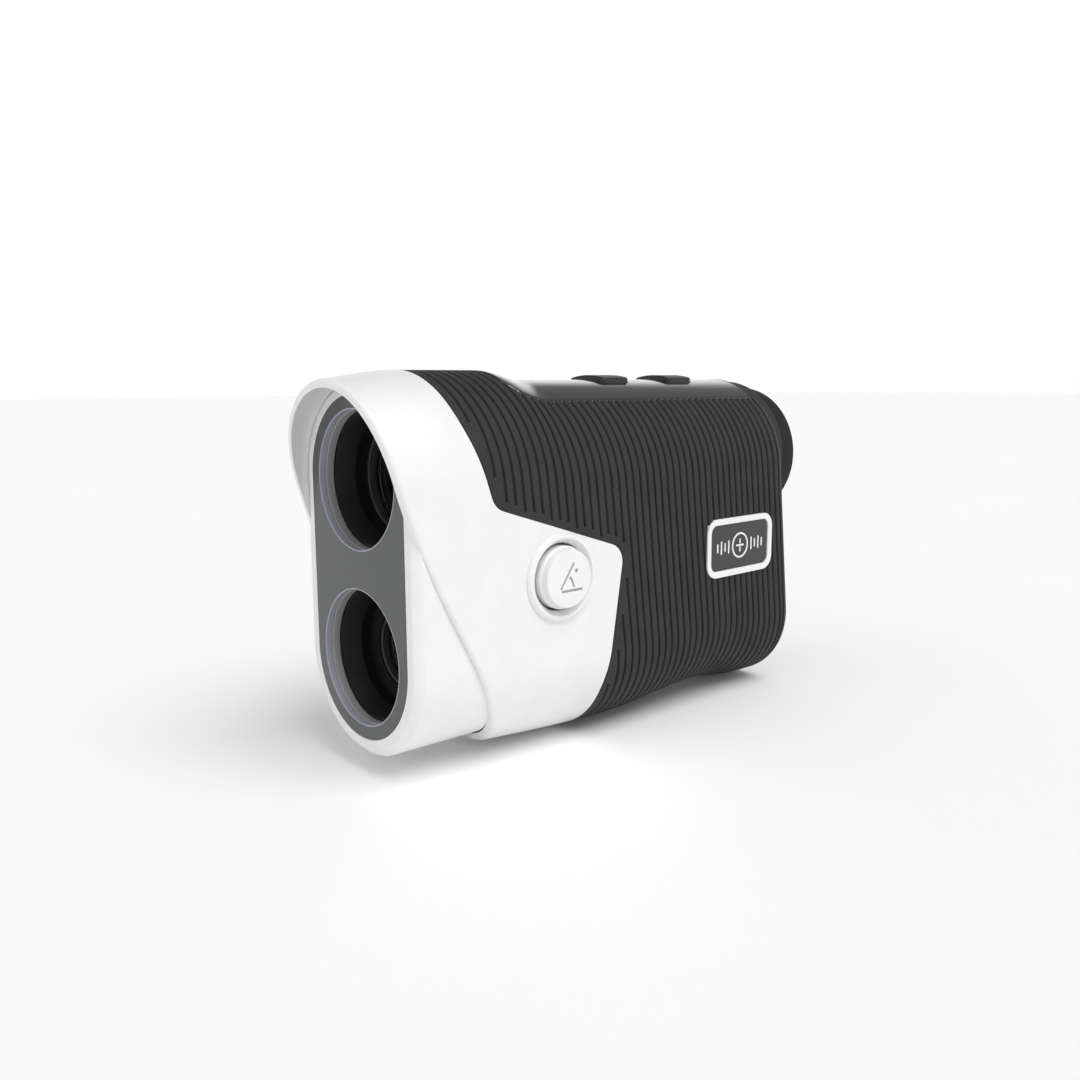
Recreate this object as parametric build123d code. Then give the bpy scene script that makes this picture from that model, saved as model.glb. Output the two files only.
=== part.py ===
from build123d import *
import os
from math import atan, cos, pi, radians, sin, sqrt, tan

# A two-lens hand-held laser rangefinder. Millimetres. The origin is where the viewing axis
# crosses the front face of the lens plate. The lenses look along -Y, the eyepiece is at +Y,
# +Z is up and +X is the user's left, the side with the slope button.

# ---- driving dimensions -------------------------------------------------------------------
AXIS_GAP = 33.1                 # viewing lens above receiving lens
LOW = -AXIS_GAP                 # height of the receiving axis
SKIN = 1.6                      # thickness of the outer shell and of the rubber sleeve
GAP = 0.05                      # room between two fixed pieces that lie on each other
HOUSING_WALL = 1.75             # inner housing, under the skins
HOUSING_FRONT = 24.0            # where the inner housing starts

# The body is a stadium at every station along Y. Each list gives (y, value) and the value
# eases from one to the next along half a cosine.
HALF_WIDTH = [(-9, 18.2), (9, 19.9), (36, 19.9), (112, 19.0)]
TOP = [(-9, 18.15), (9, 19.8), (27, 19.8), (37, 17.93), (112, 17.93)]
BOTTOM = [(-9, -52.6), (56, -55.7), (86, -53.8), (103, -55.5), (112, -55.5)]
STATIONS = [-9, -5, -1, 3, 9, 18, 27, 29.5, 32, 34.5, 37, 46, 56, 66, 76, 86, 95, 103, 112]

# Front edge of the outer shell, seen from the side: a raked line and, above it, one arc.
RAKE = 27.9                     # degrees from upright
RAKE_Y, RAKE_Z = 6.15, -22.0    # where the line turns into the arc
HOOD_R = 110.0                  # radius of that arc

# Seam between the white shell and the rubber sleeve, seen from the side, and its corner radii.
SEAM = [(9.0, 26), (11.4, 11), (16.9, -4.9), (49.9, -15.6), (47.7, -29), (45.2, -44), (45.6, -62)]
SEAM_R = [40, 4, 4.0, 70, 30]
SEAM_GAP = 0.1

# Rear end: a plane that leans forward at the top.
REAR_Y = 101.4                  # on the viewing axis
REAR_SLOPE = 0.112              # rearward per millimetre down
COVER_T = 2.2
COLLAR_R, COLLAR_END = 17.3, 105.4

SNOUT_R = 18.9
SNOUT_EDGE = 1.5                # chamfer round the snout's front edge
SNOUT_HIGH = -9.0               # the wide part of the snout ends here, under the hood
CORE_R, CORE_WALL = 17.2, 1.6   # the snout where the shell covers it
TONGUE_OUT, TONGUE_IN = 16.1, 14.7   # the snout's tongue inside the inner housing
PLATE_R, PLATE_T = 15.5, 1.2

TRIM_IN, TRIM_OUT, TRIM_END = 12.7, 13.0, 3.0
BARREL_R, BARREL_BORE = 14.5, 12.1
BARREL_STEP = 12.0              # where a barrel narrows behind its flange
BORE_STEP = 6.5                 # where its bore narrows
LENS_DEEP = 9.8                 # the lens face behind the plate, on the axis
LENS_THICK = 5.0                # room from that face to the lens seat
LOCK_WIDTH = 0.65               # how far a lock ring covers its lens

STRIP_HALF, STRIP_FRONT = 12.1, 27.3   # gloss strip on top, from the hump to the rear
STRIP_CORNER = 3.5
KEY_X, KEY_Y = 10.6, 7.9        # top buttons, across and along
KEY_CENTRES = {"power_button": 61.8, "mode_button": 82.4}
KEY_PROUD = 0.95
KEY_ROOM = 0.4                  # how much wider than a button its hole is
KEY_LEDGE = 14.3                # height of the flange that keeps a button in

SLOPE_Y, SLOPE_Z = 32.5, -19.3
SLOPE_CAP_R, SLOPE_RING_R = 6.1, 8.7
SLOPE_HOLE_R = 7.6              # hole in the shell and in the inner housing
SLOPE_WALL = 19.95              # the flank there
SLOPE_FACE = 22.3

BADGE_Y, BADGE_Z = 87.6, -19.2
BADGE_L, BADGE_H, BADGE_CORNER, BADGE_STROKE = 23.5, 13.1, 3.2, 1.4
BADGE_SUNK, BADGE_RAISED = 0.9, 0.3

EYE_R, EYE_FRONT, EYE_END = 15.75, 105.75, 112.4
EYE_TUBE_R, EYE_BORE = 14.8, 13.6
EYE_CELL_R, EYE_LENS_R = 12.85, 10.95
FLAP_X, FLAP_Z = -6.8, -32.0
FLAP_W, FLAP_H, FLAP_T = 7.0, 13.0, 1.2
LUG_Z, LUG_W, LUG_R, LUG_HOLE = -44.0, 3.0, 2.6, 1.2
LUG_STAND = 1.5                 # the strap hole's axis behind the rear face
SCREWS = [(13.0, -16.0), (-13.0, -16.0), (12.3, -41.0), (-12.3, -41.0)]
SCREW_R, SCREW_HEAD_R, SCREW_HEAD_T, SCREW_SUNK = 0.95, 1.95, 0.9, 1.05
POST_R = 2.8                    # the post that each screw bites into

BOARD_X = -9.6                  # outer face of the main board, on the right hand side
BOARD_T = 1.2
POWER_LOW, POWER_HIGH = -46.0, -20.0   # the battery and the main board stand between these

WIDE = 60.0                     # larger than the object, for cutting tools

parts = {}


# ---- helpers ------------------------------------------------------------------------------
def eased(keys, y):
    for (y0, v0), (y1, v1) in zip(keys, keys[1:]):
        if y <= y1:
            return v0 + (v1 - v0) * (1 - cos(pi * (y - y0) / (y1 - y0))) / 2
    return keys[-1][1]


def stadium(half, top, bottom):
    """A stadium face in the local XY plane, upright, between two heights."""
    high, low = top - half, bottom + half
    right = Line((half, low), (half, high))
    cap = ThreePointArc((half, high), (0, top), (-half, high))
    left = Line((-half, high), (-half, low))
    foot = ThreePointArc((-half, low), (0, bottom), (half, low))
    return make_face([right, cap, left, foot])


def upright(y):
    """The XZ plane at station y, seen from the front: local x is +X, local y is +Z."""
    return Plane(origin=(0, y, 0), x_dir=(1, 0, 0), z_dir=(0, -1, 0))


def body(inset):
    """The whole body, grown smaller all round by inset."""
    faces = []
    for y in STATIONS:
        half = eased(HALF_WIDTH, y) - inset
        faces.append(upright(y) * stadium(half, eased(TOP, y) - inset, eased(BOTTOM, y) + inset))
    return loft(faces)


def column(r, y0, y1):
    """A stadium column of radius r about both lens axes."""
    return extrude(upright(y1) * stadium(r, r, LOW - r), y1 - y0)


def from_side(wire_face, half=WIDE):
    """A face drawn in (y, z) becomes a bar along X."""
    return extrude(Plane.YZ * wire_face, half, both=True)


def turned(points, z=0.0):
    """Revolve (radius, y) points about the Y axis, at height z."""
    face = make_face(Polyline(*points, close=True))
    return Pos(0, 0, z) * revolve(face, Axis.Y)


def ring(r_out, r_in, y0, y1, z=0.0):
    return turned([(r_in, y0), (r_out, y0), (r_out, y1), (r_in, y1)], z)


def rod(r, y0, y1, x=0.0, z=0.0):
    return Pos(x, 0, 0) * turned([(0, y0), (r, y0), (r, y1), (0, y1)], z)


def rod_x(r, x0, x1, y, z):
    return Pos((x0 + x1) / 2, y, z) * Rot(0, 90, 0) * Cylinder(r, x1 - x0)


def rod_z(r, z0, z1, x, y):
    return Pos(x, y, (z0 + z1) / 2) * Cylinder(r, z1 - z0)


def block(x0, x1, y0, y1, z0, z1):
    return Pos((x0 + x1) / 2, (y0 + y1) / 2, (z0 + z1) / 2) * Box(x1 - x0, y1 - y0, z1 - z0)


def lens(r, front, edge_front, edge_back, back, z=0.0):
    """A biconvex lens: face centres at front and back, the cylinder edge between."""
    near = ThreePointArc((0, front), lens_mid(r, front, edge_front), (r, edge_front))
    rim = Line((r, edge_front), (r, edge_back))
    far = ThreePointArc((r, edge_back), lens_mid(r, back, edge_back), (0, back))
    axis = Line((0, back), (0, front))
    return Pos(0, 0, z) * revolve(make_face([near, rim, far, axis]), Axis.Y)


def lens_mid(r, centre, edge):
    """A point half way out on the arc through a face's centre and edge."""
    sag = edge - centre
    radius = (r * r + sag * sag) / (2 * abs(sag))
    half = radius - sqrt(radius * radius - r * r / 4)
    return (r / 2, centre + (half if sag > 0 else -half))


def front_region(shift):
    """Everything behind the outer shell's front edge, moved back by shift."""
    slope = tan(radians(RAKE))
    low_y = RAKE_Y + slope * (RAKE_Z + WIDE * 1.5)
    end = radians(2.0)
    top = (RAKE_Y - HOOD_R * (cos(end) - cos(radians(RAKE))),
           RAKE_Z + HOOD_R * (sin(radians(RAKE)) - sin(end)))
    mid_angle = (radians(RAKE) + end) / 2
    mid = (RAKE_Y - HOOD_R * (cos(mid_angle) - cos(radians(RAKE))),
           RAKE_Z + HOOD_R * (sin(radians(RAKE)) - sin(mid_angle)))
    rake = Line((low_y, -WIDE * 1.5), (RAKE_Y, RAKE_Z))
    arc = ThreePointArc((RAKE_Y, RAKE_Z), mid, top)
    rest = Polyline(top, (150, top[1]), (150, -WIDE * 1.5), (low_y, -WIDE * 1.5))
    return from_side(Pos(shift, 0) * make_face([rake, arc, rest]))


def seam_region(shift):
    """Everything behind the seam, moved back by shift."""
    line = FilletPolyline(*SEAM, radius=SEAM_R)
    rest = Polyline(SEAM[-1], (150, SEAM[-1][1]), (150, SEAM[0][1]), SEAM[0])
    return from_side(Pos(shift, 0) * make_face([line, rest]))


def rear_plane(out=0.0):
    """The leaning rear plane, out millimetres behind the body; local y is up, local x is -X."""
    lean = atan(REAR_SLOPE)
    normal = (0, cos(lean), sin(lean))
    return Plane(origin=(0, REAR_Y + out / cos(lean), 0), x_dir=(-1, 0, 0), z_dir=normal)


def before_rear(out=0.0):
    """Everything in front of the leaning rear plane."""
    return extrude(rear_plane(out) * Rectangle(300, 300), -200)


def on_rear(x, z, out=0.0):
    """A local frame on the rear plane at a place given in the object's x and z."""
    lean = atan(REAR_SLOPE)
    return rear_plane(out).location * Pos(-x, z / cos(lean), 0)


def rear_facing(shape):
    """The face of a shape that looks squarely rearward, along the rear plane's normal."""
    return max(shape.faces(), key=lambda face: face.normal_at().dot(rear_plane().z_dir))


# ---- skins --------------------------------------------------------------------------------
OUTER = body(0)
UNDER_SKIN = body(SKIN)
SKINS = OUTER - UNDER_SKIN
BEHIND_SEAM = seam_region(0)


def strip_block(half, front):
    """The column over the top strip, with its front corners rounded."""
    length = 150 - front
    plan = Pos(0, front + length / 2) * RectangleRounded(2 * half, length, STRIP_CORNER)
    return Pos(0, 0, 5) * extrude(plan, 35)


def make_front_shell():
    shell = SKINS & front_region(0)
    shell -= seam_region(-SEAM_GAP)
    shell -= rod_x(SLOPE_HOLE_R, 10, 30, SLOPE_Y, SLOPE_Z)
    return shell


def badge_plane():
    """A plane that lies on the left side at the badge; local x is rearward, local y is up."""
    step = 5.0
    change = eased(HALF_WIDTH, BADGE_Y + step) - eased(HALF_WIDTH, BADGE_Y - step)
    return Plane(origin=(eased(HALF_WIDTH, BADGE_Y), BADGE_Y, BADGE_Z),
                 x_dir=(change / (2 * step), 1, 0), z_dir=(1, -change / (2 * step), 0))


def badge_slab(grow, low, high):
    face = RectangleRounded(BADGE_L + 2 * grow, BADGE_H + 2 * grow, BADGE_CORNER + grow)
    plane = badge_plane()
    return extrude(plane.offset(low) * face, high - low)


def make_grip_sleeve():
    sleeve = SKINS & BEHIND_SEAM
    sleeve &= before_rear()
    sleeve -= strip_block(STRIP_HALF + GAP, STRIP_FRONT - GAP)
    sleeve -= badge_slab(GAP, -BADGE_SUNK - GAP, 5)
    return sleeve


def make_top_cover():
    cover = SKINS & strip_block(STRIP_HALF, STRIP_FRONT)
    cover &= before_rear()
    for y in KEY_CENTRES.values():
        cover -= Pos(0, y, 16) * Box(KEY_X + KEY_ROOM, KEY_Y + KEY_ROOM, 12)
    return cover


def make_badge():
    parts["badge_frame"] = badge_slab(0, -BADGE_SUNK, BADGE_RAISED) - badge_slab(-BADGE_STROKE, -2, 5)
    parts["badge_plate"] = badge_slab(-BADGE_STROKE - GAP, -BADGE_SUNK, 0.0)


# ---- snout and lens plate -----------------------------------------------------------------
def make_front_housing():
    wide = column(SNOUT_R, 0, 26)
    front_edges = [e for e in wide.edges() if abs(e.center().Y) < 0.01]
    wide = chamfer(front_edges, SNOUT_EDGE)
    wide -= front_region(-0.1)
    wide -= block(-WIDE, WIDE, -5, 40, SNOUT_HIGH, 40)
    snout = wide + column(CORE_R, 0, HOUSING_FRONT - 0.1)
    snout -= column(PLATE_R + GAP, -1, PLATE_T + GAP)
    snout -= column(CORE_R - CORE_WALL, 5, 40)
    for z in (0, LOW):
        snout -= rod(BARREL_R + 0.1, 0, 8, z=z)
    tongue = column(TONGUE_OUT, 20, 29) - column(TONGUE_IN, 19, 30)
    snout += tongue
    snout -= rod_x(SLOPE_HOLE_R + 0.6, 10, 30, SLOPE_Y, SLOPE_Z)
    return snout


def make_front_plate():
    plate = column(PLATE_R, 0, PLATE_T)
    for z in (0, LOW):
        plate -= rod(TRIM_OUT + GAP, -1, 3, z=z)
    return plate


def make_lens_group(name, z, bore, lens_r, rear_r, rear_end):
    """Trim ring, barrel, lock ring, lens and seal of one of the two front lenses."""
    flange = PLATE_T + 0.1
    parts[name + "_trim_ring"] = turned(
        [(TRIM_IN, 0), (TRIM_OUT, 0), (TRIM_OUT, flange), (BARREL_R, flange),
         (BARREL_R, TRIM_END), (TRIM_IN, TRIM_END)], z)
    seat = LENS_DEEP + LENS_THICK
    start = TRIM_END + GAP
    cup = lens_r + GAP
    ledge = lens_r - 0.9
    parts[name + "_barrel"] = turned(
        [(BARREL_BORE, start), (BARREL_R, start), (BARREL_R, BARREL_STEP), (rear_r, BARREL_STEP),
         (rear_r, rear_end), (rear_r - 1.2, rear_end), (ledge, seat + 1.4), (ledge, seat),
         (cup, seat), (cup, LENS_DEEP - 1.1), (bore, LENS_DEEP - 1.1), (bore, BORE_STEP),
         (BARREL_BORE, BORE_STEP)], z)
    sag = 0.13 * lens_r
    edge = LENS_DEEP + sag
    parts[name + "_lens"] = lens(lens_r, LENS_DEEP, edge, seat - 0.6, seat - 0.2, z)
    ring_back = LENS_DEEP + 0.8 * sag
    parts[name + "_lock_ring"] = ring(lens_r, lens_r - LOCK_WIDTH, LENS_DEEP - 0.8, ring_back, z)
    parts[name + "_seal"] = ring(lens_r - 0.1, lens_r - 0.7, seat - 0.5, seat - 0.05, z)


# ---- inner housing, rear cover ------------------------------------------------------------
def make_body_housing():
    outside = body(SKIN + GAP)
    inside = body(SKIN + GAP + HOUSING_WALL)
    tube = outside - inside
    tube &= block(-WIDE, WIDE, HOUSING_FRONT, 150, -WIDE, WIDE)
    tube &= before_rear(-GAP)
    tube -= rod(EYE_TUBE_R + 0.1, 88, 120)
    for x, z in SCREWS:
        post = rod(POST_R, 97, 115, x, z) & before_rear(-GAP)
        tube += post & outside
        tube -= rod(SCREW_R + GAP, 96, 120, x, z)
    tube -= rod_x(SLOPE_HOLE_R, 10, 30, SLOPE_Y, SLOPE_Z)
    for y in KEY_CENTRES.values():
        tube -= Pos(0, y, 16) * Box(KEY_X + 3, KEY_Y + 3, 12)
    return tube


def make_rear_cover():
    lean = atan(REAR_SLOPE)
    half = eased(HALF_WIDTH, REAR_Y)
    top, bottom = TOP[-1][1] / cos(lean), BOTTOM[-1][1] / cos(lean)
    cover = extrude(rear_plane() * stadium(half, top, bottom), COVER_T)
    cover = fillet(rear_facing(cover).edges(), 2.0)
    cover += rod(COLLAR_R, REAR_Y - 1.0, COLLAR_END) - before_rear()
    cover -= rod(EYE_TUBE_R + GAP, 80, 130)
    cover -= on_rear(FLAP_X, FLAP_Z, COVER_T - FLAP_T - GAP) * Pos(0, 0, 5) * Box(
        FLAP_W + 0.4, FLAP_H + 0.4, 10)
    cover -= Pos(FLAP_X, 105, FLAP_Z) * Box(3.6, 12, 9.4)
    for x, z in SCREWS:
        cover -= rod(SCREW_R + 2 * GAP, 90, 120, x, z)
        cover -= on_rear(x, z, COVER_T - SCREW_SUNK - GAP) * Pos(0, 0, 5) * Cylinder(
            SCREW_HEAD_R + 2 * GAP, 10)
    return cover + make_lanyard_lug()


def make_lanyard_lug():
    """A loop low on the rear face, for a wrist strap."""
    face_y = rear_plane(COVER_T).origin.Y - REAR_SLOPE * LUG_Z
    hole_y = face_y + LUG_STAND
    lug = rod_x(LUG_R, -LUG_W / 2, LUG_W / 2, hole_y, LUG_Z)
    lug += block(-LUG_W / 2, LUG_W / 2, face_y - 1.5, hole_y, LUG_Z - LUG_R, LUG_Z + LUG_R)
    lug -= rod_x(LUG_HOLE, -LUG_W, LUG_W, hole_y, LUG_Z)
    return lug - before_rear(COVER_T - 1.0)


def make_screws():
    screws = []
    for x, z in SCREWS:
        shank = rod(SCREW_R, 97.5, 120, x, z) & before_rear(COVER_T - 0.3)
        head = on_rear(x, z, COVER_T - SCREW_SUNK) * Pos(0, 0, SCREW_HEAD_T / 2) * Cylinder(
            SCREW_HEAD_R, SCREW_HEAD_T)
        slot = on_rear(x, z, COVER_T - 0.15) * (Box(2.2, 0.45, 0.9) + Box(0.45, 2.2, 0.9))
        screws.append(shank + head - slot)
    return Compound(children=screws)


# ---- moving controls ----------------------------------------------------------------------
def make_top_button(name, y):
    crown = body(-KEY_PROUD) & Pos(0, y, 20) * Box(KEY_X, KEY_Y, 12)
    cap = crown & block(-WIDE, WIDE, 0, 150, 14.0, 40)
    cap += Pos(0, y, KEY_LEDGE) * Box(KEY_X + 2, KEY_Y + 2, 0.8)
    parts[name] = cap
    base = name.replace("_button", "")
    parts[base + "_dome"] = dome_z(12.95, 13.85, y)
    body_block = Pos(0, y, 12.15) * Box(4.4, 4.4, 1.4)
    parts[base + "_switch"] = body_block + rod_z(1.0, 12.8, 12.9, 0, y)


def dome_z(z0, z1, y):
    profile = [(0, z1), (1.2, z1), (2.4, z0), (1.8, z0), (0.9, z1 - 0.45), (0, z1 - 0.45)]
    face = make_face(Plane.XZ * Polyline(*profile, close=True))
    return Pos(0, y, 0) * revolve(face, Axis.Z)


def turned_x(points):
    """Revolve (radius, x) points about the slope button's axis."""
    face = make_face(Plane.XZ * Polyline(*[(x, r) for r, x in points], close=True))
    return Pos(0, SLOPE_Y, SLOPE_Z) * revolve(face, Axis.X)


def make_slope_button():
    wall = SLOPE_WALL
    parts["slope_bezel"] = turned_x(
        [(6.6, 16.0), (7.5, 16.0), (7.5, wall), (SLOPE_RING_R, wall), (8.2, wall + 0.75),
         (7.5, wall + 0.8), (7.0, wall + 0.1), (6.6, wall + 0.1)])
    parts["slope_button"] = turned_x(
        [(0, 13.0), (2.0, 13.0), (2.0, 15.0), (7.2, 15.0), (7.2, 15.8), (SLOPE_CAP_R, 15.8),
         (SLOPE_CAP_R, 20.5), (5.75, 20.9), (5.65, 21.9), (5.3, SLOPE_FACE), (0, SLOPE_FACE)])
    parts["slope_dome"] = turned_x(
        [(0, 12.0), (1.2, 12.0), (1.2, 12.9), (0, 12.9)]) + turned_x(
        [(1.2, 12.4), (2.6, 11.6), (2.9, 11.6), (1.2, 12.9)])
    parts["slope_switch"] = block(8.1, 11.5, SLOPE_Y - 3, SLOPE_Y + 3, SLOPE_Z - 3, SLOPE_Z + 3)
    parts["slope_board"] = block(7.0, 8.05, SLOPE_Y - 5, SLOPE_Y + 5, SLOPE_Z - 5, SLOPE_Z + 5)


def make_usb_flap():
    plane = on_rear(FLAP_X, FLAP_Z, COVER_T - FLAP_T)
    flap = plane * Pos(0, 0, FLAP_T / 2) * Box(FLAP_W, FLAP_H, FLAP_T)
    flap = fillet(rear_facing(flap).edges(), 0.4)
    plug = plane * Pos(0, 0, -0.5) * Box(2.0, 7.0, 1.0)
    return flap + plug


# ---- inside -------------------------------------------------------------------------------
def make_optical_frame():
    frame = body(SKIN + GAP + HOUSING_WALL + GAP) & block(-WIDE, WIDE, 36.2, 38.2, -WIDE, WIDE)
    frame -= rod(13.05, 30, 40)
    frame -= rod(5.0, 30, 40, z=LOW)
    frame -= block(6.5, 20, 30, 45, SLOPE_Z - 8.4, SLOPE_Z + 8.4)
    return frame


def make_prisms():
    """A Schmidt-Pechan pair in its cage: it turns the picture upright."""
    half = 9.0
    first = Polyline((46, -9), (46, 9), (54, 9), (64, -1), (56, -9), close=True)
    second = Polyline((55, 9), (72, 9), (72, -8), close=True)
    parts["front_prism"] = from_side(make_face(first), half)
    parts["roof_prism"] = from_side(make_face(second), half)
    cage = block(-10.6, 10.6, 44, 74, -10.8, 10.0)
    parts["prism_cage"] = cage - block(-9.1, 9.1, 40, 80, -9.1, 9.1)


def make_eyepiece():
    thread = EYE_CELL_R + GAP
    sleeve = EYE_BORE - GAP
    parts["eyepiece_tube"] = ring(EYE_TUBE_R, EYE_BORE, 90, COLLAR_END - 0.1)
    parts["diopter_ring"] = turned(
        [(thread, 97), (sleeve, 97), (sleeve, 105.6), (14.4, 105.6), (14.4, 111.4), (thread, 111.4)])
    parts["eyecup"] = turned(
        [(14.45, EYE_FRONT), (EYE_R, EYE_FRONT), (EYE_R, EYE_END - 0.6), (EYE_R - 0.6, EYE_END),
         (12.6, EYE_END), (12.4, 111.8), (12.9, 111.45), (14.45, 111.45)])
    stop = ring(EYE_LENS_R + 0.25, 9.6, 98, 99.5)
    parts["eyepiece_cell"] = ring(EYE_CELL_R, EYE_LENS_R + GAP, 92, 108) + stop
    parts["eye_lens"] = lens(EYE_LENS_R, 102.2, 103.4, 106.2, 107.5)
    parts["field_lens"] = lens(EYE_LENS_R, 92.6, 93.6, 95.6, 96.2)


def make_electronics():
    parts["display_panel"] = block(-9, 9, 77, 78.8, -9, 9)
    parts["laser_module"] = rod_z(2.8, -17.3, -11.0, 0, 52) + block(-5, 5, 47, 57, -18.4, -17.3)
    can = rod(4.2, 25.0, 29.0, z=LOW)
    parts["detector_module"] = can + block(-8.5, 8.5, 29.0, 30.2, LOW - 8.5, LOW + 8.5)
    parts["main_board"] = block(BOARD_X, BOARD_X + BOARD_T, 40, 96, POWER_LOW, POWER_HIGH + 0.5)
    parts["battery"] = block(-3, 6, 42, 90, POWER_LOW, POWER_HIGH)
    parts["button_board"] = block(-7, 7, 54, 89, 10.3, 11.4)
    port = block(-8.35, -5.25, 96.5, 104.4, FLAP_Z - 4.45, FLAP_Z + 4.45)
    parts["usb_port"] = port - block(-8.05, -5.55, 98, 110, FLAP_Z - 4.15, FLAP_Z + 4.15)


# ---- assembly -----------------------------------------------------------------------------
parts["front_shell"] = make_front_shell()
parts["grip_sleeve"] = make_grip_sleeve()
parts["top_cover"] = make_top_cover()
make_badge()
parts["front_housing"] = make_front_housing()
parts["front_plate"] = make_front_plate()
make_lens_group("objective", 0.0, 10.6, 10.5, 13.0, 38.0)
make_lens_group("receiver", LOW, 10.4, 7.4, 10.0, 24.0)
parts["body_housing"] = make_body_housing()
parts["rear_cover"] = make_rear_cover()
parts["rear_cover_screws"] = make_screws()
for key_name, key_y in KEY_CENTRES.items():
    make_top_button(key_name, key_y)
make_slope_button()
parts["usb_flap"] = make_usb_flap()
parts["optical_frame"] = make_optical_frame()
make_prisms()
make_eyepiece()
make_electronics()

os.makedirs("parts", exist_ok=True)
for node, shape in parts.items():
    export_step(shape, "parts/" + node + ".step")
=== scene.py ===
import math

import bmesh
import bpy
import numpy as np
from mathutils import Matrix, Vector


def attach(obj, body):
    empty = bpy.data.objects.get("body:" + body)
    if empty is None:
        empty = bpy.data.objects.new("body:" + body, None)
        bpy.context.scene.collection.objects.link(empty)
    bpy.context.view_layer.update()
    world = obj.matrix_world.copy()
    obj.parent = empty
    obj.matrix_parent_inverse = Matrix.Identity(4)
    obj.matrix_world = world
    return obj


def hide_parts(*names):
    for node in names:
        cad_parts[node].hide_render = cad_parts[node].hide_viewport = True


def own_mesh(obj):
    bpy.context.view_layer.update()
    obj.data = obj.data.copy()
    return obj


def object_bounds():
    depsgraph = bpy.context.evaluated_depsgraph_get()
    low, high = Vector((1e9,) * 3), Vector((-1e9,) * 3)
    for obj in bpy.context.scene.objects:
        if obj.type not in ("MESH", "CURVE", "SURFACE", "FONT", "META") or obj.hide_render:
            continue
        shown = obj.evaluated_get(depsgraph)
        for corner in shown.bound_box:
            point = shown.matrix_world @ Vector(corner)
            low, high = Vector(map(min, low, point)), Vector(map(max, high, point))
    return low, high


# The looks of a hand-held laser rangefinder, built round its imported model. Shapes are worked
# out in millimetres in the model's own frame, and become metres when a mesh is made. The lenses
# look along -Y, the eyepiece is at +Y, +Z is up and +X is the side with the slope button.

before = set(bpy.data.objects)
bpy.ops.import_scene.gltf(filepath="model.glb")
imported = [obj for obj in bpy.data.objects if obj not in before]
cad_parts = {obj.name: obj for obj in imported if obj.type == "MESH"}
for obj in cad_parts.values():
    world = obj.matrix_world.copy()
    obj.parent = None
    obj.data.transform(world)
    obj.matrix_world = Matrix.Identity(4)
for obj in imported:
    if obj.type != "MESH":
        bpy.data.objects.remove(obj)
CAD_LOW, CAD_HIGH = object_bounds()
MM = 0.001

# ---- driving dimensions: the model's own, and those of details that it leaves out ----------
LOW = -33.1                      # height of the lower lens axis; the upper one is at 0
SKIN = 1.6
HALF_WIDTH = [(-9, 18.2), (9, 19.9), (36, 19.9), (112, 19.0)]
TOP = [(-9, 18.15), (9, 19.8), (27, 19.8), (37, 17.93), (112, 17.93)]
BOTTOM = [(-9, -52.6), (56, -55.7), (86, -53.8), (103, -55.5), (112, -55.5)]
BODY_START, BODY_END = -9.0, 112.0

RAKE = math.radians(27.9)        # front edge of the white shell: a raked line, then an arc
RAKE_Y, RAKE_Z = 6.15, -22.0
HOOD_R = 110.0
SEAM = [(9.0, 26), (11.4, 11), (16.9, -4.9), (49.9, -15.6), (47.7, -29), (45.2, -44), (45.6, -62)]
SEAM_R = [40, 4, 4.0, 70, 30]
SEAM_GAP = 0.1
REAR_Y, REAR_SLOPE = 101.4, 0.112

EDGE_R = 0.8                     # rounding of the shell's front edge
SEAM_LIP = 0.3                   # rounding on both sides of the seam
GROOVE_PITCH = 2.065
GROOVE_PHASE = 54.0              # one groove's place along Y, on the viewing axis
GROOVE_LEAN = 0.125              # rearward per millimetre down
GROOVE_HALF, GROOVE_DEPTH = 0.32, 0.45
GROOVE_BORDER = 1.7              # plain rubber along the seam
GROOVE_END = 1.2                 # and in front of the rear edge
GROOVE_NUMBERS = range(-24, 26)  # grooves counted from the one at GROOVE_PHASE
STRIP_HALF, STRIP_FRONT, STRIP_CORNER = 12.1, 27.3, 3.5

KEY_X, KEY_Y = 10.6, 7.9
KEY_CENTRES = {"power": 61.8, "mode": 82.4}
KEY_PROUD = 0.95
KEY_GAP = 0.2
KEY_CORNER, KEY_BEVEL = 0.9, 0.3
KEY_LEDGE, KEY_LEDGE_T = 13.9, 0.75      # the flange that keeps a button in
DOME_BASE, DOME_TOP = 12.95, 13.85       # heights of the silicone domes under the buttons
SIDE_DOME_BASE = 11.6                    # and the foot of the side button's dome, along X

SLOPE_Y, SLOPE_Z = 32.5, -19.3
SLOPE_FACE = 22.3
SLOPE_WALL = 19.95               # the flank at the slope button
SLOPE_HOLE_R = 7.55
ICON_DEPTH, ICON_SHADE_SHEET = 0.28, 0.14      # how deep the pictogram is cut, and how deep the grey sheet of painted shade lies in its strokes
BADGE_Y, BADGE_Z = 87.6, -19.2
BADGE_L, BADGE_H, BADGE_CORNER, BADGE_STROKE = 23.5, 13.1, 3.2, 1.4
BADGE_SUNK, BADGE_RAISED = 0.9, 0.3
PLATE_R = 15.5
SNOUT_R, SNOUT_EDGE = 18.9, 1.5
RIM_R, RIM_EDGE = 17.4, 0.3      # the snout's narrow rim under the hood
LENS_DEEP, LENS_THICK = 9.8, 5.0
BARREL_R, BARREL_BORE, BARREL_STEP = 14.5, 12.1, 12.0
EYE_FRONT, EYE_END, EYE_R = 105.75, 112.4, 15.75
EYE_LENS_R = 10.95


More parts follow.
